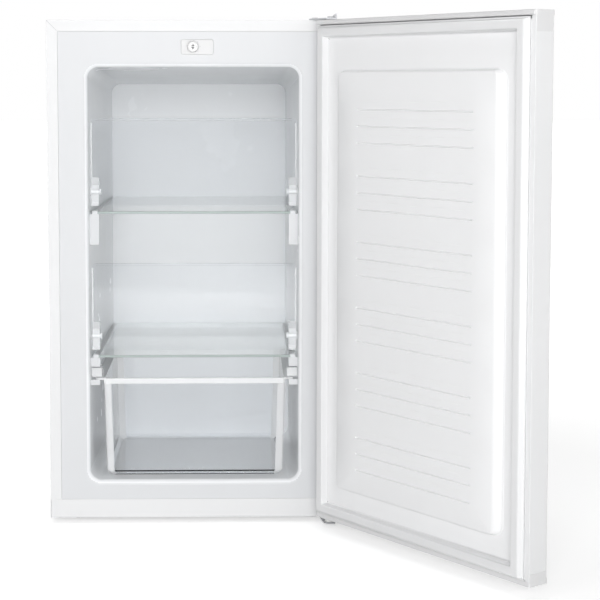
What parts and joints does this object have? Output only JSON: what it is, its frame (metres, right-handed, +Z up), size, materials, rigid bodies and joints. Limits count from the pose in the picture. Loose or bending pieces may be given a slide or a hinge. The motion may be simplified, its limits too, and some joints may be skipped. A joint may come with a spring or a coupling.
{
  "type": "upright freezer",
  "caption": "Under-counter upright freezer with a hinged door, drop-down compartment flaps, glass shelves, a pull-out drawer and a rear cooling unit.",
  "frame": {"origin": "on the floor, below the middle of the cabinet's front plane", "axes": "+Z up, +X to the right of a person facing the open cabinet, +Y into the cabinet"},
  "size_m": [0.763, 0.916, 0.8545],
  "materials": {
    "white_steel": "satin",
    "white_liner": "satin",
    "door_liner_white": "satin",
    "white_plastic": "satin",
    "zinc_sheet": "satin",
    "back_sheet": "satin",
    "rigid_foam": "matte",
    "shelf_pane": "polished",
    "clear_plastic": "gloss",
    "trim_grey": "satin",
    "clear_pivot": "gloss",
    "knob_white": "gloss",
    "switch_case": "matte",
    "seal_white": "matte",
    "magnet_dark": "matte",
    "bush_white": "satin",
    "hinge_steel": "satin",
    "screw_zinc": "polished",
    "foot_plastic": "satin",
    "pot_black": "satin",
    "mount_rubber": "matte",
    "relay_black": "satin",
    "condenser_black": "satin",
    "copper": "satin",
    "clip_plastic": "satin",
    "cold_plate": "satin"
  },
  "bodies": {
    "cabinet": {"outer_wrapper": "white_steel", "front_rail": "white_steel", "foot_nuts": "screw_zinc", "inner_liner": "white_liner", "foam_insulation": "rigid_foam", "base_pan": "zinc_sheet", "back_panel": "back_sheet", "shelf_glass_upper": "shelf_pane", "shelf_glass_lower": "shelf_pane", "shelf_trims_upper": "trim_grey", "shelf_trims_lower": "trim_grey", "flap_pivots_upper": "clear_pivot", "flap_pivots_lower": "clear_pivot", "drawer_guides": "clear_pivot", "thermostat_bezel": "white_plastic", "thermostat_body": "switch_case", "top_hinge_bracket": "hinge_steel", "bottom_hinge_bracket": "hinge_steel", "hinge_spacer": "bush_white", "top_hinge_screws": "screw_zinc", "bottom_hinge_screws": "screw_zinc", "rear_feet": "foot_plastic", "compressor_tray": "zinc_sheet", "compressor": "pot_black", "compressor_grommets": "mount_rubber", "compressor_bolts": "screw_zinc", "relay_box": "relay_black", "condenser_tube": "condenser_black", "condenser_wires": "condenser_black", "condenser_clips": "clip_plastic", "filter_drier": "copper", "discharge_pipe": "copper", "suction_pipe": "copper", "process_tube": "copper", "capillary": "copper", "evaporator_plate": "cold_plate", "evaporator_tube": "cold_plate"},
    "door": {"door_skin": "white_steel", "door_liner": "door_liner_white", "door_foam": "rigid_foam", "door_cap_top": "white_plastic", "door_cap_bottom": "white_plastic", "door_gasket": "seal_white", "gasket_magnets": "magnet_dark", "hinge_bush_top": "bush_white", "hinge_bush_bottom": "bush_white"},
    "flap_upper": {"flap_upper": "clear_plastic"},
    "flap_lower": {"flap_lower": "clear_plastic"},
    "drawer": {"drawer_bin": "clear_plastic"},
    "thermostat_dial": {"thermostat_knob": "knob_white"},
    "foot_left": {"front_foot_left": "foot_plastic"},
    "foot_right": {"front_foot_right": "foot_plastic"}
  },
  "joints": [
    {"name": "door_hinge", "type": "hinge", "parent": "cabinet", "child": "door", "pos_m": [0.2265, -0.028, 0], "axis": [0, 0, 1], "range_deg": [-126.2, 8.8]},
    {"name": "drawer_slide", "type": "slide", "parent": "cabinet", "child": "drawer", "axis": [0, -1, 0], "range_m": [0, 0.23]},
    {"name": "flap_upper_drop", "type": "hinge", "parent": "cabinet", "child": "flap_upper", "pos_m": [0, 0.034, 0.5585], "axis": [1, 0, 0], "range_deg": [0, 90]},
    {"name": "flap_lower_drop", "type": "hinge", "parent": "cabinet", "child": "flap_lower", "pos_m": [0, 0.034, 0.314], "axis": [1, 0, 0], "range_deg": [0, 90]},
    {"name": "thermostat_turn", "type": "hinge", "parent": "cabinet", "child": "thermostat_dial", "pos_m": [0, 0, 0.801], "axis": [0, -1, 0], "range_deg": [0, 270]},
    {"name": "foot_left_turn", "type": "hinge", "parent": "cabinet", "child": "foot_left", "pos_m": [-0.2, 0.038, 0], "axis": [0, 0, 1], "range_deg": [-180, 180]},
    {"name": "foot_right_turn", "type": "hinge", "parent": "cabinet", "child": "foot_right", "pos_m": [0.2, 0.038, 0], "axis": [0, 0, 1], "range_deg": [-180, 180]}
  ]
}
